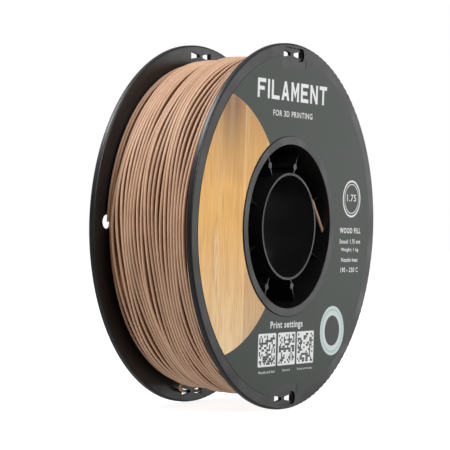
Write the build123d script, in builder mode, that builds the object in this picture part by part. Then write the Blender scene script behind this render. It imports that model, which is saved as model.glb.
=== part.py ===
from build123d import *
from math import cos, pi, radians, sin, tan
import os

# Filament spool, lying on its own axis: the bore runs along Y, the labelled
# side faces -Y, +Z is up and the origin is on the axis, half way along it.
# All sizes are in millimetres.

# Driving dimensions
flange_radius = 100.0
flange_face = 31.7  # from the middle plane to the flat outer face
flange_thickness = 3.2
rim_round = 1.0

hub_hole = 44.75  # radius of the opening at the hub
lip_outer = 49.3
lip_height = 0.7

barrel_radius = 47.1
bore_radius = 28.0
bore_wall = 1.25
spigot_length = 3.0
spigot_outer = 45.9
spigot_gap = 0.05

rib_count = 8
rib_width = 0.75
rib_recess = 5.2  # from the flange face to the front edges of the ribs
pad_radius = 1.75  # round pads on the ribs
pad_circle = 35.7

clip_circle = 94.1  # centre of the filament clip pockets
pocket_length = 22.6
pocket_height = 7.2
pocket_depth = 1.2
clip_tip = 1.6  # half the bridge between the two tapered holes
clip_base = 10.2
clip_tip_half = 0.8
clip_base_half = 2.2

parking_hole = 3.7  # radius of the two round holes in the rear flange
parking_circle = 87.8
parking_recess = 6.5  # radius of the recess round each hole, in the outer face
parking_wall = 1.0  # thickness left inside the recess

label_outer = 93.3
label_inner = 49.4
label_thickness = 0.15
notch_half_width = 13.4
notch_start = 86.4
notch_round = 2.0

strand = 1.75  # filament diameter
layer_pitch = 1.63
full_layers = 25
winding_half_width = 28.1
top_layer_ends = (22.3, 20.0, 3.0)  # rear ends of the last three layers

feed_hole_radius = 1.3
feed_hole_at = (44.8, -27.3, -1.4)  # where the inner end comes through the barrel

inner_face = flange_face - flange_thickness
bore_tube_outer = bore_radius + bore_wall
lip_face = flange_face + lip_height
rib_front = flange_face - rib_recess

os.makedirs("parts", exist_ok=True)


def side_plane(side, distance):
    """A plane across the axis; side is -1 at the front and 1 at the rear."""
    return Plane(origin=(0, side * distance, 0), x_dir=(1, 0, 0), z_dir=(0, -1, 0))


def write(piece, name):
    piece.part.label = name
    export_step(piece.part, f"parts/{name}.step")


def ring_between(inner, outer, start, end):
    """A tube about the Y axis, from start to end along it."""
    with BuildPart() as tube:
        with BuildSketch(Plane.XY):
            with BuildLine():
                Polyline((inner, start), (outer, start), (outer, end), (inner, end), close=True)
            make_face()
        revolve(axis=Axis.Y)
    return tube


def clip_hole_corners(height, way):
    """One tapered hole of a clip, narrow towards the bridge."""
    return (
        (way * clip_tip, height - clip_tip_half),
        (way * clip_base, height - clip_base_half),
        (way * clip_base, height + clip_base_half),
        (way * clip_tip, height + clip_tip_half),
    )


# Flanges
def flange(side):
    with BuildPart() as disc:
        with BuildSketch(Plane.XY):
            with BuildLine():
                Polyline(
                    (hub_hole, side * inner_face),
                    (hub_hole, side * lip_face),
                    (lip_outer, side * lip_face),
                    (lip_outer, side * flange_face),
                    (flange_radius, side * flange_face),
                    (flange_radius, side * inner_face),
                    close=True,
                )
            make_face()
        revolve(axis=Axis.Y)
        edge_circles = disc.edges().filter_by(GeomType.CIRCLE)
        fillet(edge_circles.filter_by(lambda e: abs(e.radius - flange_radius) < 0.01), rim_round)
        fillet(
            disc.edges().filter_by(GeomType.CIRCLE).filter_by(
                lambda e: e.radius < lip_outer + 0.01 and abs(e.center().Y) > flange_face + 0.1
            ),
            0.3,
        )
        # clip pockets and their holes
        with BuildSketch(side_plane(side, flange_face)):
            with Locations((0, clip_circle), (0, -clip_circle)):
                RectangleRounded(pocket_length, pocket_height, 3.0)
        extrude(amount=side * pocket_depth, mode=Mode.SUBTRACT)
        with BuildSketch(side_plane(side, flange_face)) as holes:
            for height in (clip_circle, -clip_circle):
                for way in (-1, 1):
                    with BuildLine():
                        Polyline(*clip_hole_corners(height, way), close=True)
                    make_face()
            fillet(holes.vertices(), 0.4)
        extrude(amount=side * (flange_thickness + 1), mode=Mode.SUBTRACT)
        # parking holes, each in a shallow recess
        if side > 0:
            recess_depth = flange_thickness - parking_wall
            for radius, depth in ((parking_recess, recess_depth), (parking_hole, flange_thickness + 1)):
                with BuildSketch(side_plane(side, flange_face)):
                    with Locations((-parking_circle, 0), (parking_circle, 0)):
                        Circle(radius)
                extrude(amount=side * depth, mode=Mode.SUBTRACT)
            hole_edges = disc.edges().filter_by(GeomType.CIRCLE)
            fillet(hole_edges.filter_by(lambda e: abs(e.radius - parking_hole) < 0.01), 0.3)
    return disc


front_flange = flange(-1)
write(front_flange, "front_flange")
rear_flange = flange(1)
write(rear_flange, "rear_flange")


# Hub: each half has a barrel, a bore tube and eight ribs between them
def ribs(side):
    with BuildPart() as plates:
        with BuildSketch(side_plane(side, 0)):
            with PolarLocations(pad_circle, rib_count, start_angle=180 / rib_count):
                Rectangle(2 * (barrel_radius - bore_tube_outer), rib_width)
                Circle(pad_radius)
            Circle(hub_hole, mode=Mode.INTERSECT)
            Circle(bore_tube_outer, mode=Mode.SUBTRACT)
        extrude(amount=-side * rib_front)
    return plates


with BuildPart() as front_barrel:
    with BuildSketch(Plane.XY):
        with BuildLine():
            Polyline(
                (hub_hole, -inner_face),
                (barrel_radius, -inner_face),
                (barrel_radius, 0),
                (spigot_outer, 0),
                (spigot_outer, spigot_length),
                (hub_hole, spigot_length),
                close=True,
            )
        make_face()
    revolve(axis=Axis.Y)
    # the inner end of the filament comes through here at a slant
    slant = Vector(0.63, 0, -0.777)
    with BuildSketch(Plane(origin=Vector(*feed_hole_at) - slant * 4, z_dir=slant)):
        Circle(feed_hole_radius)
    extrude(amount=9, mode=Mode.SUBTRACT)
write(front_barrel, "front_barrel")

socket_radius = spigot_outer + spigot_gap
with BuildPart() as rear_barrel:
    with BuildSketch(Plane.XY):
        with BuildLine():
            Polyline(
                (hub_hole, inner_face),
                (barrel_radius, inner_face),
                (barrel_radius, 0),
                (socket_radius, 0),
                (socket_radius, spigot_length + 0.1),
                (hub_hole, spigot_length + 0.1),
                close=True,
            )
        make_face()
    revolve(axis=Axis.Y)
write(rear_barrel, "rear_barrel")

write(ring_between(bore_radius, bore_tube_outer, -flange_face, 0), "front_bore_tube")
write(ring_between(bore_radius, bore_tube_outer, 0, flange_face), "rear_bore_tube")
write(ribs(-1), "front_hub_ribs")
write(ribs(1), "rear_hub_ribs")

# Label, stuck to the front flange and notched round the clips
with BuildPart() as front_label:
    with BuildSketch(side_plane(-1, flange_face)):
        Circle(label_outer)
        Circle(label_inner, mode=Mode.SUBTRACT)
        notch_height = label_outer - notch_start + 4
        with Locations((0, notch_start + notch_height / 2), (0, -notch_start - notch_height / 2)):
            RectangleRounded(2 * notch_half_width, notch_height, notch_round, mode=Mode.SUBTRACT)
    extrude(amount=label_thickness)
write(front_label, "front_label")

# Winding: one tube for each layer of turns, from the barrel outwards
layer_ends = [winding_half_width] * full_layers + list(top_layer_ends)
layer_radius = barrel_radius
for number, rear_end in enumerate(layer_ends, start=1):
    layer = ring_between(layer_radius, layer_radius + layer_pitch, -winding_half_width, rear_end)
    write(layer, f"winding_layer_{number:02d}")
    layer_radius += layer_pitch


# Loose ends of the filament
def strand_tube(points):
    """A strand of filament through the points, with its corners as arcs."""
    places = [Vector(*p) for p in points]
    radii = []
    for before, at, after in zip(places, places[1:], places[2:]):
        turn = (at - before).get_angle(after - at)
        run = min((at - before).length, (after - at).length)
        radii.append(0.45 * run / tan(radians(turn) / 2))
    with BuildPart() as tube:
        with BuildLine() as path:
            FilletPolyline(*places, radius=radii)
        route = path.wire()
        with BuildSketch(Plane(origin=route @ 0, z_dir=route % 0)):
            Circle(strand / 2)
        sweep(path=route)
    wanted = pi * (strand / 2) ** 2 * route.length
    print("arcs", [round(r, 1) for r in radii], "length", round(route.length, 1))
    print("volume", round(tube.part.volume, 2), "section times length", round(wanted, 2))
    return tube


# The outer end lies beside the last full turn, turns back to the flange, goes out
# by the left hole of the lower rear clip, crosses behind the bridge and comes in
# by the right hole.
outer_end_route = [
    (15.45, 23.3, -87.65),
    (6.0, 23.4, -88.9),
    (-4.0, 23.5, -89.0),
    (-12.2, 23.9, -88.15),
    (-15.4, 25.2, -88.2),
    (-14.6, 26.6, -91.9),
    (-9.3, 27.5, -94.0),
    (-4.6, 31.45, -94.3),
    (4.2, 31.45, -94.5),
    (6.6, 28.6, -94.4),
    (8.2, 26.0, -93.6),
]
write(strand_tube(outer_end_route), "filament_outer_end")

# The inner end comes through the barrel, rests on the edge of a rib and dives
# into the hub beside it.
inner_end_route = [
    (45.9, -27.3, -2.8),
    (31.3, -27.75, 15.4),
    (28.6, -23.5, 18.6),
    (27.4, -15.0, 19.6),
]
write(strand_tube(inner_end_route), "filament_inner_end")
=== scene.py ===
import random
from math import asin, atan2, cos, hypot, pi, radians, sin

import bpy
import numpy as np
from mathutils import Matrix, Vector


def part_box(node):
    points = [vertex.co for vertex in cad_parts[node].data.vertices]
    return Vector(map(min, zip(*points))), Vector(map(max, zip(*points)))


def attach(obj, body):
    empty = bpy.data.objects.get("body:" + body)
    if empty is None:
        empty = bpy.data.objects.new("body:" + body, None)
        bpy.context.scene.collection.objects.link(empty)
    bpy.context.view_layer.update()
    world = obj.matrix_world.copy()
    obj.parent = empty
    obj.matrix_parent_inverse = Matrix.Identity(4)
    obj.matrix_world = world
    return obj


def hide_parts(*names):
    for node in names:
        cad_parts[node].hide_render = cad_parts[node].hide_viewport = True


# A spool of wood-coloured printer filament. The bore runs along Y, the label faces -Y and +Z is up.
# Blender's lengths are metres. Sizes are given in millimetres and multiplied by MM.
MM = 0.001

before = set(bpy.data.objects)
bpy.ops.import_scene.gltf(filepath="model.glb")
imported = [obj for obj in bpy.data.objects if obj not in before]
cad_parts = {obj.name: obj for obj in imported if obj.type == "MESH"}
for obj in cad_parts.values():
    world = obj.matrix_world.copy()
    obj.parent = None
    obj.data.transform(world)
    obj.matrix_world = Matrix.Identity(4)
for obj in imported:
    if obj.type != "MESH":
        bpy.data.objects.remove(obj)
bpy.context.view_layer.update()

# Places that come from the frame
label_low, label_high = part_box("front_label")
LABEL_FACE = label_low.y
LABEL_RADIUS = label_high.x
FLOOR_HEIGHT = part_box("front_flange")[0].z

STRAND = 1.75 * MM  # thickness of the filament
LAYER_PITCH = 1.63 * MM  # a layer's rise over the one below it
BARREL_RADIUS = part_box("winding_layer_01")[1].x - LAYER_PITCH


# ---------------------------------------------------------------- camera
def add_camera():
    """A long lens, level with the bore, that sees the label and the winding on its left."""
    azimuth, elevation, roll = radians(-58.37), radians(0.19), radians(1.595)
    distance = 1.1225
    back = Vector((sin(azimuth) * cos(elevation), -cos(azimuth) * cos(elevation), sin(elevation)))
    right = Vector((cos(azimuth), sin(azimuth), 0))
    up = back.cross(right)
    target = right * -8.22 * MM + up * -0.21 * MM
    across = right * cos(roll) + up * sin(roll)
    along = up * cos(roll) - right * sin(roll)
    data = bpy.data.cameras.new("camera")
    data.sensor_width = 36
    data.lens = 161.8
    camera = bpy.data.objects.new("camera", data)
    turned = Matrix((across, along, back)).transposed().to_4x4()
    camera.matrix_world = Matrix.Translation(target + back * distance) @ turned
    bpy.context.scene.collection.objects.link(camera)
    bpy.context.scene.camera = camera


add_camera()


# ---------------------------------------------------------------- loose ends
def strand_curve(name, route):
    """A length of filament on one smooth curve that follows the route, in millimetres."""
    data = bpy.data.curves.new(name, "CURVE")
    data.dimensions = "3D"
    data.resolution_u = 16
    data.bevel_depth = 1.0
    data.bevel_resolution = 6
    data.use_fill_caps = True
    spline = data.splines.new("NURBS")
    spline.points.add(len(route) - 1)
    for point, place in zip(spline.points, route):
        point.co = (place[0] * MM, place[1] * MM, place[2] * MM, 1)
        point.radius = STRAND / 2
    spline.use_endpoint_u = True
    spline.order_u = 3
    curve = bpy.data.objects.new(name, data)
    bpy.context.scene.collection.objects.link(curve)
    return curve


# The last turn bends back to the rear flange, goes out by one hole of the lower clip and in by the other.
outer_end_route = [
    (15.45, 23.3, -87.55),
    (6.0, 23.4, -88.7),
    (-4.0, 23.5, -88.9),
    (-12.4, 23.6, -88.6),
    (-17.6, 24.3, -88.6),
    (-17.0, 26.2, -91.8),
    (-10.2, 27.4, -93.6),
    (-4.6, 31.45, -94.2),
    (4.2, 31.45, -94.4),
    (6.4, 29.4, -94.4),
    (7.4, 27.6, -94.2),
]
outer_end = strand_curve("outer_end", outer_end_route)
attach(outer_end, "root")
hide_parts("filament_outer_end")

# The first turn comes through the barrel into the hub and rests on the edge of a rib.
inner_end_route = [
    (45.9, -27.3, -2.8),
    (35.2, -27.6, 10.5),
    (31.3, -27.75, 15.4),
    (28.6, -23.5, 18.6),
    (27.4, -15.0, 19.6),
]
inner_end = strand_curve("inner_end", inner_end_route)
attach(inner_end, "root")
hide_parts("filament_inner_end")


# ---------------------------------------------------------------- winding
STEPS = 144  # samples in a turn
SIDES = 12  # corners of the strand's section
CLOSEST = 1.745 * MM  # least spacing of turns that touch
SETTLING = 120  # rounds in which turns that overlap push each other aside
FLANGE_LIMIT = 27.5 * MM  # the outermost turn's middle, where it touches a flange
CALM_MARGIN = 5 * MM  # the sway dies out over this distance from a flange
CALM_TURNS = 0.625  # and over this many turns at the end of a layer
STIFF_REACH = 3  # samples over which a strand stays as high as its highest place
COVERED, OPEN = 2.0 * MM, 3.6 * MM  # distance to the nearest turn above, for a covered and an open place


def smoothed(values, reach):
    """The values averaged with their neighbours up to reach samples away."""
    padded = np.concatenate([np.full(reach, values[0]), values, np.full(reach, values[-1])])
    window = np.hanning(2 * reach + 3)[1:-1]
    return np.convolve(padded, window / window.sum(), mode="valid")


def highest_near(values, reach):
    """The highest of the values up to reach samples away."""
    padded = np.concatenate([np.full(reach, values[0]), values, np.full(reach, values[-1])])
    return np.lib.stride_tricks.sliding_window_view(padded, 2 * reach + 1).max(axis=1)


def waves(seed, count, slow, fast):
    """A smooth random function of the turn number, about 1 in size."""
    chance = random.Random(seed)
    parts = [(chance.uniform(slow, fast), chance.uniform(0, 2 * pi)) for _ in range(count)]

    def value(turns):
        return sum(np.sin(2 * pi * rate * turns + phase) for rate, phase in parts) / (count / 2) ** 0.5

    return value


def sway(seed, count, most_waves, shortest, longest):
    """A smooth random function of the place on the winding, about 1 in size.

    Neighbouring turns sway together, because each one lies against the last.
    """
    chance = random.Random(seed)
    parts = []
    for _ in range(count):
        around = chance.randint(1, most_waves) * chance.choice((-1, 1))
        across = 2 * pi / (chance.uniform(shortest, longest) * MM)
        parts.append((around, across, chance.uniform(0, 2 * pi)))

    def value(angle, y):
        total = sum(np.sin(around * angle + across * y + phase) for around, across, phase in parts)
        return total / (count / 2) ** 0.5

    return value


class Layer:
    """One layer of turns: a place along the axis and a radius for each sample of the strand.

    The knots give the place along the axis, in millimetres, after a number of turns. hand is 1 where
    the strand advances along +Y as it goes round clockwise, seen from the front. together is how far
    neighbouring turns sway as one, and alone is how far each turn strays by itself.
    """

    def __init__(self, knots, hand, seed, together, alone, start=0):
        turns = knots[-1][0]
        count = round(turns * STEPS)
        t = np.arange(count + 1) / STEPS
        self.angle_index = (-hand * np.arange(count + 1) + start) % STEPS
        self.angle = 2 * pi * self.angle_index / STEPS
        y = np.interp(t, [after for after, _ in knots], [place * MM for _, place in knots])
        calm = np.clip((FLANGE_LIMIT - abs(y)) / CALM_MARGIN, 0, 1)
        calm *= np.clip((turns - t) / CALM_TURNS, 0, 1)
        # short and long sways that neighbours share, and a wander of its own
        bunching = sway(seed, 14, 6, 9, 24)(self.angle, y)
        leaning = sway(seed + 20, 8, 8, 40, 110)(self.angle, y)
        own = waves(seed + 40, 9, 0.7, 3.4)(t)
        y += calm * (together * (bunching + leaning) + alone * own)
        self.y = self.apart(smoothed(self.apart(y), 5))
        self.r = np.zeros(count + 1)

    @staticmethod
    def apart(y):
        """Turns that would overlap push each other aside."""
        y = y.copy()
        for _ in range(SETTLING):
            push = np.clip(CLOSEST - (y[STEPS:] - y[:-STEPS]), 0, None) / 2
            y[:-STEPS] -= push
            y[STEPS:] += push
            np.clip(y, -FLANGE_LIMIT, FLANGE_LIMIT, out=y)
        return y

    def lie_flat(self, radius):
        """Every sample lies at the same radius, as on a smooth layer."""
        self.r[:] = radius

    def rest_on(self, lower_layers):
        """Each sample lies on the strands below, and the strand's stiffness bridges the dips."""
        for index in range(STEPS):
            mine = np.nonzero(self.angle_index == index)[0]
            below_y = np.concatenate([layer.y[layer.angle_index == index] for layer in lower_layers])
            below_r = np.concatenate([layer.r[layer.angle_index == index] for layer in lower_layers])
            offset = self.y[mine][:, None] - below_y[None, :]
            room = np.clip(STRAND**2 - offset**2, 0, None)
            height = np.where(room > 0, below_r[None, :] + np.sqrt(room), 0)
            self.r[mine] = height.max(axis=1)
        self.r = smoothed(highest_near(self.r, STIFF_REACH), 2 * STIFF_REACH)

    def cover(self, upper_layers):
        """How far each sample is covered, which the filament paints as shade: 1 between turns that lie
        above it, 0 out in the open.
        """
        covered = np.zeros(len(self.y))
        for index in range(STEPS):
            mine = np.nonzero(self.angle_index == index)[0]
            above_y = np.concatenate([layer.y[layer.angle_index == index] for layer in upper_layers])
            nearest = np.abs(self.y[mine][:, None] - above_y[None, :]).min(axis=1)
            covered[mine] = np.clip((OPEN - nearest) / (OPEN - COVERED), 0, 1)
        return smoothed(covered, 3)

    def points(self):
        """The strand's middle line, one point for each sample."""
        return np.stack([self.r * np.cos(self.angle), self.y, self.r * np.sin(self.angle)], axis=1)


def strand_mesh(name, points, shades, covered, replaced):
    """A round strand along the points, with closed ends.

    It carries a shade and a cover for each sample, and how far each side faces outwards, from -1 to 1.
    """
    count = len(points)
    ahead = np.gradient(points, axis=0)
    ahead /= np.linalg.norm(ahead, axis=1)[:, None]
    outwards = points * (1, 0, 1)
    outwards /= np.linalg.norm(outwards, axis=1)[:, None]
    sideways = np.cross(ahead, outwards)
    sideways /= np.linalg.norm(sideways, axis=1)[:, None]
    outwards = np.cross(sideways, ahead)
    turn = 2 * pi * np.arange(SIDES) / SIDES
    rings = (
        points[:, None, :]
        + STRAND / 2 * np.cos(turn)[None, :, None] * outwards[:, None, :]
        + STRAND / 2 * np.sin(turn)[None, :, None] * sideways[:, None, :]
    )
    corners = rings.reshape(-1, 3)
    base = np.arange(count - 1)[:, None] * SIDES
    this = np.arange(SIDES)[None, :]
    after = (this + 1) % SIDES
    quads = np.stack([base + this, base + this + SIDES, base + after + SIDES, base + after], axis=-1)
    faces = quads.reshape(-1, 4).tolist()
    faces.append(list(range(SIDES)))
    faces.append(list(range((count - 1) * SIDES, count * SIDES))[::-1])
    mesh = bpy.data.meshes.new(name)
    mesh.from_pydata(corners.tolist(), [], faces)
    mesh.polygons.foreach_set("use_smooth", [True] * len(faces))
    for label, values in (
        ("shade", np.repeat(shades, SIDES)),
        ("cover", np.repeat(covered, SIDES)),
        ("outward", np.tile(np.cos(turn), count)),
    ):
        attribute = mesh.attributes.new(label, "FLOAT", "POINT")
        attribute.data.foreach_set("value", values.astype(np.float32))
    mesh.update()
    piece = bpy.data.objects.new(name, mesh)
    bpy.context.scene.collection.objects.link(piece)
    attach(piece, "root")
    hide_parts(replaced)
    return piece


def turn_shades(seed, count, middle):
    """Slow changes of colour along the strand about a middle tone. Lower layers are given a darker middle,
    which is painted shade.
    """
    return middle + 0.2 * waves(seed, 8, 0.05, 1.3)(np.arange(count) / STEPS)


def centre_radius(number):
    """Radius of the middle of a strand that lies flat in a layer."""
    return BARREL_RADIUS + (number - 1) * LAYER_PITCH + STRAND / 2


def led_into(points, place):
    """The points with the last third of a turn bent gently towards a place, which ends them."""
    last = slice(-(STEPS // 3), None)
    blend = np.linspace(0, 1, STEPS // 3) ** 2
    radius = np.hypot(points[last, 0], points[last, 2])
    wanted = radius + (hypot(place.x, place.z) - radius) * blend
    points[last, 0] *= wanted / radius
    points[last, 2] *= wanted / radius
    points[last, 1] += (place.y - points[last, 1]) * blend
    return np.concatenate([points, np.array([place])])


# Layer 25 is full. Layer 26 ends short of the rear flange and has a turn or two beside the flange,
# and layer 27 covers the front half.
layer_25 = Layer([(0, -27.5), (29, 27.3)], -1, 3, 0.35 * MM, 0.1 * MM)
layer_25.lie_flat(centre_radius(25))
layer_26 = Layer([(0, -27.4), (24.75, 20.2), (25.25, 25.0), (26.5, 26.9)], -1, 4, 0.5 * MM, 0.15 * MM)
layer_26.rest_on([layer_25])
layer_27 = Layer([(0, -27.0), (14, 3.0)], 1, 5, 0.7 * MM, 0.2 * MM)
layer_27.rest_on([layer_25, layer_26])

# The last layer runs loosely from the front flange to near the rear one and into the loose end.
tail_start = Vector(outer_end_route[0]) * MM
tail_index = round(atan2(tail_start.z, tail_start.x) * STEPS / (2 * pi)) % STEPS
last_layer = Layer([(0, -27.2), (23, 23.3)], 1, 8, 0.8 * MM, 0.25 * MM, start=tail_index)
last_layer.rest_on([layer_25, layer_26, layer_27])
last_points = led_into(last_layer.points()[:-1], tail_start)

# Each layer's middle tone is darker than the one above it: painted shade for turns that lie deeper.
windings = []
for number, layer, middle, upper_layers in (
    (25, layer_25, 0.3, [layer_26, layer_27, last_layer]),
    (26, layer_26, 0.4, [layer_27, last_layer]),
    (27, layer_27, 0.5, [last_layer]),
):
    shades = turn_shades(number, len(layer.r), middle)
    covered = layer.cover(upper_layers)
    name = f"winding_layer_{number}"
    windings.append(strand_mesh(f"strand_layer_{number}", layer.points(), shades, covered, name))
shades = turn_shades(14, len(last_points), 0.6)
windings.append(strand_mesh("strand_last_layer", last_points, shades, 0 * shades, "winding_layer_28"))


# ---------------------------------------------------------------- label prints
PRINT_THICKNESS = 0.02 * MM
PRINT_FACE = LABEL_FACE - PRINT_THICKNESS / 2
HUB_RING = 49.8  # radius in millimetres at which the printed area starts, just outside the hub's ring


def print_piece(name, data, level=0):
    """A printed shape on the label; a higher level lies over a lower one."""
    piece = bpy.data.objects.new(name, data)
    piece.rotation_euler = (radians(90), 0, 0)
    piece.location.y = PRINT_FACE - level * PRINT_THICKNESS
    bpy.context.scene.collection.objects.link(piece)
    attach(piece, "root")
    return piece


def print_words(name, words, middle, width, height, weight=0.0, spacing=1.08):
    """Lettering fitted to a width and height in millimetres about its middle; weight thickens it."""
    data = bpy.data.curves.new(name, "FONT")
    data.body = words
    data.space_character = spacing
    data.extrude = PRINT_THICKNESS / 2
    data.offset = weight
    data.resolution_u = 4
    piece = print_piece(name, data)
    bpy.context.view_layer.update()
    corners = np.array([corner[:2] for corner in piece.bound_box])
    low, high = corners.min(axis=0), corners.max(axis=0)
    stretch = np.array([width, height]) * MM / (high - low)
    centre = (low + high) / 2 * stretch
    piece.scale = (stretch[0], stretch[1], 1)
    piece.location.x = middle[0] * MM - centre[0]
    piece.location.z = middle[1] * MM - centre[1]
    return piece


def print_outline(name, outlines, level=0):
    """Filled outlines, given as lists of points in millimetres; one inside another is a hole."""
    data = bpy.data.curves.new(name, "CURVE")
    data.dimensions = "2D"
    data.fill_mode = "BOTH"
    data.extrude = PRINT_THICKNESS / 2
    for outline in outlines:
        spline = data.splines.new("POLY")
        spline.points.add(len(outline) - 1)
        for point, place in zip(spline.points, outline):
            point.co = (place[0] * MM, place[1] * MM, 0, 1)
        spline.use_cyclic_u = True
    shape = bpy.data.objects.new(name + "_outline", data)
    mesh = bpy.data.meshes.new_from_object(shape)
    bpy.data.objects.remove(shape)
    return print_piece(name, mesh, level)


def letter_outlines(letter, wide, high, bar):
    """A plain block capital, one of A E F I L M N T, as outlines from its lower left corner."""
    half = wide / 2
    if letter == "I":
        return [[(0, 0), (bar, 0), (bar, high), (0, high)]]
    if letter == "L":
        return [[(0, 0), (wide, 0), (wide, bar), (bar, bar), (bar, high), (0, high)]]
    if letter == "T":
        left, right, under = half - bar / 2, half + bar / 2, high - bar
        arm = [(wide, under), (wide, high), (0, high), (0, under)]
        return [[(left, 0), (right, 0), (right, under)] + arm + [(left, under)]]
    if letter == "N":
        first = [(0, 0), (bar, 0), (bar, 0.66 * high), (wide - bar, 0), (wide, 0)]
        return [first + [(wide - x, high - z) for x, z in first]]
    if letter == "M":
        armpit = 0.62 * high
        valley = [(bar, high), (half, 0.5 * high), (wide - bar, high)]
        under = [(wide - bar, 0), (wide - bar, armpit), (half, 0.16 * high), (bar, armpit), (bar, 0)]
        return [[(0, 0), (0, high)] + valley + [(wide, high), (wide, 0)] + under]
    if letter == "A":
        foot, crossing = 1.1 * bar, 0.22 * high
        legs = [(0, 0), (foot, 0), (foot + 0.09 * wide, crossing), (wide - foot - 0.09 * wide, crossing)]
        legs += [(wide - foot, 0), (wide, 0), (half + bar / 2, high), (half - bar / 2, high)]
        return [legs, [(0.38 * wide, 0.41 * high), (0.62 * wide, 0.41 * high), (half, 0.74 * high)]]
    # E, and F without the foot
    low_edge, high_edge, reach = (high - bar) / 2, (high + bar) / 2, 0.85 * wide
    foot = [(0, 0), (wide, 0), (wide, bar), (bar, bar)] if letter == "E" else [(0, 0), (bar, 0)]
    middle = [(bar, low_edge), (reach, low_edge), (reach, high_edge), (bar, high_edge)]
    top = [(bar, high - bar), (wide, high - bar), (wide, high), (0, high)]
    return [foot + middle + top]


def print_headline(name, word, middle, width, height):
    """A word in heavy block capitals, fitted to a width and height in millimetres about its middle."""
    bar = gap = 0.2 * height
    narrow = word.count("I")
    wide = (width - narrow * bar - (len(word) - 1) * gap) / (len(word) - narrow)
    x, z = middle[0] - width / 2, middle[1] - height / 2
    outlines = []
    for letter in word:
        for outline in letter_outlines(letter, wide, height, bar):
            outlines.append([(x + across, z + up) for across, up in outline])
        x += gap + (bar if letter == "I" else wide)
    return print_outline(name, outlines)


def arc(middle, radius, start, end, count):
    """Points of an arc, from one angle in degrees to another."""
    angles = np.radians(np.linspace(start, end, count))
    return [(middle[0] + radius * cos(angle), middle[1] + radius * sin(angle)) for angle in angles]


def arc_between(first, last, bulge):
    """Points of an arc between two points; it bulges to the right of the way from first to last."""
    first, last = np.array(first), np.array(last)
    way = last - first
    length = np.linalg.norm(way)
    radius = length**2 / (8 * bulge) + bulge / 2
    left = np.array([-way[1], way[0]]) / length
    middle = (first + last) / 2 + left * (radius - bulge)
    start = atan2(first[1] - middle[1], first[0] - middle[0])
    angles = start + 2 * asin(length / 2 / radius) * np.linspace(0, 1, 24)
    return [(middle[0] + radius * cos(angle), middle[1] + radius * sin(angle)) for angle in angles]


def circle(middle, radius):
    """Points of a whole circle, 8 degrees apart."""
    return arc(middle, radius, 0, 352, 45)


def ring(middle, outer, inner):
    """Two circles, of which the inner one is a hole."""
    return [circle(middle, outer), circle(middle, inner)]


def rounded_rectangle(middle, width, height, corner):
    """Points of a rectangle with round corners."""
    outline = []
    for x, z, start in ((1, 1, 0), (-1, 1, 90), (-1, -1, 180), (1, -1, 270)):
        place = (middle[0] + x * (width / 2 - corner), middle[1] + z * (height / 2 - corner))
        outline += arc(place, corner, start, start + 90, 5)
    return outline


def add_wood_panel():
    """The wood-grain part of the label, on its -X side: two arcs about the hub and two bulging ends."""
    along_edge = arc((0, 0), LABEL_RADIUS / MM, 132.6, 226.4, 60)
    along_hub = arc((0, 0), HUB_RING, 241.5, 118.5, 60)
    bulge = 3.9
    low_end = arc_between(along_edge[-1], along_hub[0], bulge)
    top_end = arc_between(along_hub[-1], along_edge[0], bulge)
    return print_outline("wood_panel", [along_edge + low_end[1:] + along_hub[1:] + top_end[1:-1]])


def add_code_square(name, middle, seed):
    """A white square with blocks at random places, which stand for a printed code and say nothing."""
    width, height, margin, cells = 19.0, 17.9, 1.0, 13
    base = print_outline(name, [rounded_rectangle(middle, width, height, 0.8)])
    chance = random.Random(seed)
    step_x, step_z = (width - 2 * margin) / cells, (height - 2 * margin) / cells
    size_x, size_z = 0.94 * step_x, 0.94 * step_z
    blocks = []
    for row in range(cells):
        for column in range(cells):
            if chance.random() < 0.5:
                x = middle[0] - width / 2 + margin + column * step_x
                z = middle[1] - height / 2 + margin + row * step_z
                blocks.append([(x, z), (x + size_x, z), (x + size_x, z + size_z), (x, z + size_z)])
    return base, print_outline(name + "_blocks", blocks, level=1)


def add_spool_sign(middle):
    """A generic drawing of a spool: a pale disc, a rim line and a large dark hub."""
    disc = print_outline("spool_sign", [circle(middle, 14.0)])
    rim = print_outline("spool_sign_rim", ring(middle, 12.6, 11.4), level=1)
    hub = print_outline("spool_sign_hub", [circle(middle, 8.6)], level=1)
    return disc, rim, hub


wood_panel = add_wood_panel()
white_prints = [
    print_headline("headline", "FILAMENT", (0, 73.6), 76, 10.4),
    print_words("subtitle", "FOR 3D PRINTING", (0.5, 61.2), 43, 3.2, 0.01, 1.15),
    print_outline("badge_ring", ring((71, 16.7), 10.7, 9.6)),
    print_outline("badge_line", ring((71, 16.7), 8.6, 8.1)),
    print_words("badge_size", "1.75", (71, 17.2), 11.0, 4.0, 0.01),
    print_words("material_line", "WOOD FILL", (70.3, -1.6), 25, 3.2, 0.03, 1.2),
    print_words("size_line", "Strand: 1.75 mm", (70.3, -7.9), 25, 2.6, 0.02, 1.15),
    print_words("weight_line", "Weight: 1 kg", (70.3, -12.8), 21, 2.6, 0.02, 1.15),
    print_words("heat_line", "Nozzle heat", (70.3, -18.4), 20, 2.4, 0.02, 1.15),
    print_words("heat_range", "190 - 230 C", (70.3, -24.2), 21, 2.8, 0.02, 1.15),
    print_words("settings_line", "Print settings", (-0.2, -54.0), 35, 5.0, 0.02, 1.15),
    print_words("first_caption", "Nozzle and bed", (-20.7, -78.6), 17, 1.5),
    print_words("second_caption", "Speed", (0.3, -78.6), 8, 1.5),
    print_words("third_caption", "Drying and storage", (21.0, -78.6), 17, 1.5),
]
dark_prints = []
for number, across in enumerate((-20.7, 0.3, 21.0), start=1):
    square, blocks = add_code_square(f"code_square_{number}", (across, -66.8), 100 + number)
    white_prints.append(square)
    dark_prints.append(blocks)
sign_disc, sign_rim, sign_hub = add_spool_sign((51.6, -58.6))
dark_prints.append(sign_hub)


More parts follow.
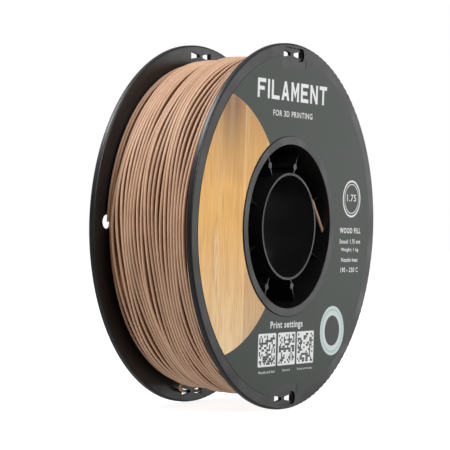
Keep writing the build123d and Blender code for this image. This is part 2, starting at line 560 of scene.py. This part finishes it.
# ---------------------------------------------------------------- materials
def node_material(name, colour, roughness):
    """A new material with its node tree and its main shader."""
    material = bpy.data.materials.new(name)
    material.use_nodes = True
    shader = material.node_tree.nodes["Principled BSDF"]
    shader.inputs["Base Color"].default_value = (*colour, 1)
    shader.inputs["Roughness"].default_value = roughness
    return material, material.node_tree, shader


def add_node(tree, kind, inputs=None, **settings):
    """A new node; an input is a plain value or another node's socket."""
    node = tree.nodes.new(kind)
    for key, value in settings.items():
        setattr(node, key, value)
    for key, value in (inputs or {}).items():
        if isinstance(value, bpy.types.NodeSocket):
            tree.links.new(value, node.inputs[key])
        else:
            node.inputs[key].default_value = value
    return node


def object_places(tree, scale=(1, 1, 1), shift=(0, 0, 0)):
    """Places on the object, with each axis scaled on its own and then shifted."""
    source = add_node(tree, "ShaderNodeTexCoord").outputs["Object"]
    inputs = {"Vector": source, "Scale": scale, "Location": shift}
    return add_node(tree, "ShaderNodeMapping", inputs).outputs["Vector"]


def arithmetic(tree, operation, *values):
    """One sum on numbers or sockets, by the name of the operation."""
    return add_node(tree, "ShaderNodeMath", dict(enumerate(values)), operation=operation).outputs[0]


def noise(tree, places, scale, detail=2.0, roughness=0.5):
    """A cloudy value about 0.5; a larger scale is a finer one."""
    inputs = {"Vector": places, "Scale": scale, "Detail": detail, "Roughness": roughness}
    return add_node(tree, "ShaderNodeTexNoise", inputs).outputs["Fac"]


def remap(tree, value, low, high, to_low, to_high):
    """The value moved from one range to another, and held within it."""
    inputs = {"Value": value, "From Min": low, "From Max": high, "To Min": to_low, "To Max": to_high}
    return add_node(tree, "ShaderNodeMapRange", inputs).outputs["Result"]


def mixed(tree, share, first, second):
    """A colour between two colours, each given as three numbers or a socket."""
    first, second = ((*value, 1) if isinstance(value, tuple) else value for value in (first, second))
    return add_node(tree, "ShaderNodeMix", {0: share, 6: first, 7: second}, data_type="RGBA").outputs[2]


def bump(tree, shader, height, distance, strength):
    """Fine relief on a shader, from a height between 0 and 1."""
    node = add_node(tree, "ShaderNodeBump", {"Height": height, "Distance": distance, "Strength": strength})
    tree.links.new(node.outputs["Normal"], shader.inputs["Normal"])


def make_plastic():
    """Black injection-moulded plastic, satin, with a very fine grain."""
    material, tree, shader = node_material("black_plastic", (0.0075, 0.0075, 0.008), 0.38)
    places = object_places(tree)
    cloud = noise(tree, places, 60, 4)
    base = mixed(tree, cloud, (0.006, 0.006, 0.007), (0.009, 0.009, 0.0095))
    tree.links.new(base, shader.inputs["Base Color"])
    tree.links.new(remap(tree, cloud, 0.3, 0.7, 0.33, 0.43), shader.inputs["Roughness"])
    bump(tree, shader, noise(tree, places, 2600), 0.02 * MM, 0.5)
    return material


def make_label():
    """Printed film, olive grey and satin."""
    material, tree, shader = node_material("label_film", (0.06, 0.066, 0.058), 0.45)
    places = object_places(tree)
    cloud = noise(tree, places, 25, 3)
    base = mixed(tree, cloud, (0.0225, 0.034, 0.0265), (0.0305, 0.0425, 0.034))
    tree.links.new(base, shader.inputs["Base Color"])
    bump(tree, shader, noise(tree, places, 1800), 0.01 * MM, 0.4)
    return material


def make_print(name, colour):
    """Printing ink, slightly uneven."""
    material, tree, shader = node_material(name, colour, 0.45)
    places = object_places(tree)
    cloud = noise(tree, places, 900)
    darker = tuple(0.9 * part for part in colour)
    tree.links.new(mixed(tree, cloud, darker, colour), shader.inputs["Base Color"])
    return material


def make_wood():
    """Printed pine with upright grain, brown at the top, with a pointed figure and a browner board."""
    material, tree, shader = node_material("wood_print", (0.7, 0.45, 0.2), 0.5)
    places = add_node(tree, "ShaderNodeSeparateXYZ", {"Vector": object_places(tree)}).outputs
    across, height = places["X"], places["Y"]

    def off_line(place):
        """Distance across the grain from an upright line."""
        return arithmetic(tree, "ABSOLUTE", arithmetic(tree, "SUBTRACT", across, place))

    # pale at the bottom, golden half way up, and a brown cloud at the top
    rise = remap(tree, height, -60 * MM, 0.0, 0.0, 1.0)
    base = mixed(tree, rise, (0.99, 0.71, 0.4), (0.97, 0.535, 0.15))
    high = remap(tree, height, 20 * MM, 62 * MM, 0.0, 1.0)
    near = remap(tree, off_line(-63 * MM), 4 * MM, 18 * MM, 1.0, 0.5)
    base = mixed(tree, arithmetic(tree, "MULTIPLY", high, near), base, (0.27, 0.14, 0.07))
    # broad dark and light streaks
    streaks = noise(tree, object_places(tree, (1, 0.05, 1)), 100)
    base = mixed(tree, remap(tree, streaks, 0.5, 0.3, 0.0, 0.3), base, (0.62, 0.3, 0.09))
    base = mixed(tree, remap(tree, streaks, 0.5, 0.7, 0.0, 0.3), base, (0.95, 0.66, 0.34))
    # the figure low on the left: a light core, and long rings round it that fade outwards
    bend = noise(tree, object_places(tree, (1, 0.15, 1)), 70)
    flat = object_places(tree, (1, 0.09, 1), (74.5 * MM, 4.5 * MM, 0))
    reach = add_node(tree, "ShaderNodeVectorMath", {0: flat}, operation="LENGTH").outputs["Value"]
    reach = arithmetic(tree, "MULTIPLY_ADD", bend, 5 * MM, reach)
    core = remap(tree, reach, 5.5 * MM, 6.4 * MM, 0.95, 0.0)
    base = mixed(tree, core, base, (1.0, 0.7, 0.37))
    wave = arithmetic(tree, "SINE", arithmetic(tree, "MULTIPLY", reach, 3.9 / MM))
    rings = remap(tree, wave, 0.0, 0.8, 0.0, 0.5)
    fading = remap(tree, reach, 4.5 * MM, 10.5 * MM, 1.0, 0.0)
    base = mixed(tree, arithmetic(tree, "MULTIPLY", fading, rings), base, (0.75, 0.4, 0.13))
    # the browner board low on the right
    right = remap(tree, across, -47.5 * MM, -46 * MM, 0.0, 0.38)
    low = remap(tree, height, -12 * MM, -26 * MM, 0.0, 1.0)
    base = mixed(tree, arithmetic(tree, "MULTIPLY", right, low), base, (0.4, 0.2, 0.1))
    # a thin light line high on the right
    thin = remap(tree, off_line(-48.7 * MM), 0.3 * MM, 0.9 * MM, 0.5, 0.0)
    high = remap(tree, height, 0.0, 20 * MM, 0.0, 1.0)
    base = mixed(tree, arithmetic(tree, "MULTIPLY", thin, high), base, (1.0, 0.7, 0.36))
    # fine grain in two sizes
    for scale, share in ((600, 0.35), (1300, 0.45)):
        fine = noise(tree, object_places(tree, (1, 0.04, 1)), scale, 2, 0.6)
        base = mixed(tree, remap(tree, fine, 0.5, 0.7, 0.0, share), base, (0.5, 0.22, 0.06))
    tree.links.new(base, shader.inputs["Base Color"])
    return material


def make_filament(name, wound):
    """Wood-filled plastic: matt tan with fine dark and light fibres.

    On the winding the shade changes along the strand, and lower layers get a darker shade as painted
    shade.
    Painted shade also makes it browner where a turn is covered and on the sides that face the next turn.
    """
    material, tree, shader = node_material(name, (0.55, 0.35, 0.23), 0.55)
    places = object_places(tree)
    cloud = noise(tree, places, 90, 3)
    shade = 0.5
    if wound:
        shade = add_node(tree, "ShaderNodeAttribute", attribute_name="shade").outputs["Fac"]
    # the shade's slow random changes are the strand's own tone; the darker shade of lower layers is
    # painted shade
    base = mixed(tree, shade, (0.435, 0.256, 0.16), (0.665, 0.418, 0.275))
    speckle = noise(tree, places, 1500, 3, 0.7)
    base = mixed(tree, remap(tree, speckle, 0.35, 0.7, 0.0, 0.5), base, (0.36, 0.2, 0.12))
    base = mixed(tree, remap(tree, cloud, 0.4, 0.75, 0.0, 0.3), base, (0.68, 0.48, 0.33))
    if wound:
        # painted shade: browner where turns of a higher layer lie close on either side
        cover = add_node(tree, "ShaderNodeAttribute", attribute_name="cover").outputs["Fac"]
        base = mixed(tree, remap(tree, cover, 0.0, 1.0, 0.0, 0.8), base, (0.29, 0.107, 0.032))
        # painted shade: darker on the sides of a turn, which face its neighbours
        outward = add_node(tree, "ShaderNodeAttribute", attribute_name="outward").outputs["Fac"]
        base = mixed(tree, remap(tree, outward, 0.65, -0.2, 0.0, 0.9), base, (0.235, 0.068, 0.014))
    tree.links.new(base, shader.inputs["Base Color"])
    bump(tree, shader, speckle, 0.04 * MM, 0.6)
    return material


plastic = make_plastic()
label_film = make_label()
filament = make_filament("wood_filament", wound=False)
wound_filament = make_filament("wound_wood_filament", wound=True)
white_print = make_print("white_print", (0.93, 0.95, 0.94))
dark_print = make_print("dark_print", (0.03, 0.033, 0.035))
cyan_print = make_print("cyan_print", (0.45, 0.68, 0.68))
pale_print = make_print("pale_print", (0.74, 0.8, 0.79))

for name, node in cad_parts.items():
    if name.startswith(("winding", "filament")):
        chosen = filament
    elif name == "front_label":
        chosen = label_film
    else:
        chosen = plastic
    node.data.materials.clear()
    node.data.materials.append(chosen)

for pieces, material in (
    (windings, wound_filament),
    ([outer_end, inner_end], filament),
    ([wood_panel], make_wood()),
    (white_prints, white_print),
    (dark_prints, dark_print),
    ([sign_disc], pale_print),
    ([sign_rim], cyan_print),
):
    for piece in pieces:
        piece.data.materials.append(material)


# ---------------------------------------------------------------- floor and light
def add_floor():
    """A white floor with a faint shadow. It doesn't throw light back at the object."""
    mesh = bpy.data.meshes.new("floor")
    half = 6.0
    corners = [(-half, -half, 0), (half, -half, 0), (half, half, 0), (-half, half, 0)]
    mesh.from_pydata(corners, [], [(0, 1, 2, 3)])
    floor = bpy.data.objects.new("floor", mesh)
    floor.location.z = FLOOR_HEIGHT
    floor.visible_diffuse = False
    floor.visible_glossy = False
    floor.visible_shadow = False
    bpy.context.scene.collection.objects.link(floor)
    material, tree, shader = node_material("floor", (0.35, 0.35, 0.35), 0.9)
    shader.inputs["Emission Color"].default_value = (1, 1, 1, 1)
    shader.inputs["Emission Strength"].default_value = 0.88
    mesh.materials.append(material)


def add_softbox(name, place, size, power, shiny=True):
    """A rectangular lamp aimed at the object; one that isn't shiny makes no highlights."""
    data = bpy.data.lights.new(name, "AREA")
    data.shape = "RECTANGLE"
    data.size, data.size_y = size
    data.energy = power
    lamp = bpy.data.objects.new(name, data)
    lamp.location = place
    lamp.rotation_mode = "QUATERNION"
    lamp.rotation_quaternion = (-Vector(place)).to_track_quat("-Z", "Y")
    lamp.visible_glossy = shiny
    bpy.context.scene.collection.objects.link(lamp)


def add_world():
    """White where the camera sees it. The light it gives is dim, and brightest from behind."""
    world = bpy.data.worlds.new("studio")
    world.use_nodes = True
    tree = world.node_tree
    background = tree.nodes["Background"]
    background.inputs["Color"].default_value = (1, 1, 1, 1)
    seen = add_node(tree, "ShaderNodeLightPath").outputs["Is Camera Ray"]
    direction = add_node(tree, "ShaderNodeTexCoord").outputs["Generated"]
    direction = add_node(tree, "ShaderNodeSeparateXYZ", {"Vector": direction}).outputs
    behind = remap(tree, direction["Y"], 0.7, 1.0, 0.03, 0.9)
    below = remap(tree, direction["Z"], -1.0, 0.0, 0.5, 0.05)
    above = remap(tree, direction["Z"], 0.0, 1.0, 0.0, 0.5)
    around = arithmetic(tree, "ADD", behind, arithmetic(tree, "ADD", below, above))
    strength = add_node(tree, "ShaderNodeMix", {0: seen, 2: around, 3: 1.0}).outputs[0]
    tree.links.new(strength, background.inputs["Strength"])
    bpy.context.scene.world = world


add_floor()
add_world()
add_softbox("key_softbox", (-0.65, 0.35, 1.2), (0.8, 0.8), 12.5)
add_softbox("front_softbox", (-0.2, -1.4, 0.7), (0.5, 0.5), 13.5)
add_softbox("left_fill", (-0.9, 0.6, -0.75), (0.8, 0.8), 8.5, shiny=False)
add_softbox("right_panel", (1.22, -0.68, 0.1), (0.4, 0.7), 2.4)
add_softbox("back_softbox", (-0.55, 0.8, 1.25), (0.5, 0.5), 8)
bpy.context.scene.view_settings.view_transform = "Standard"
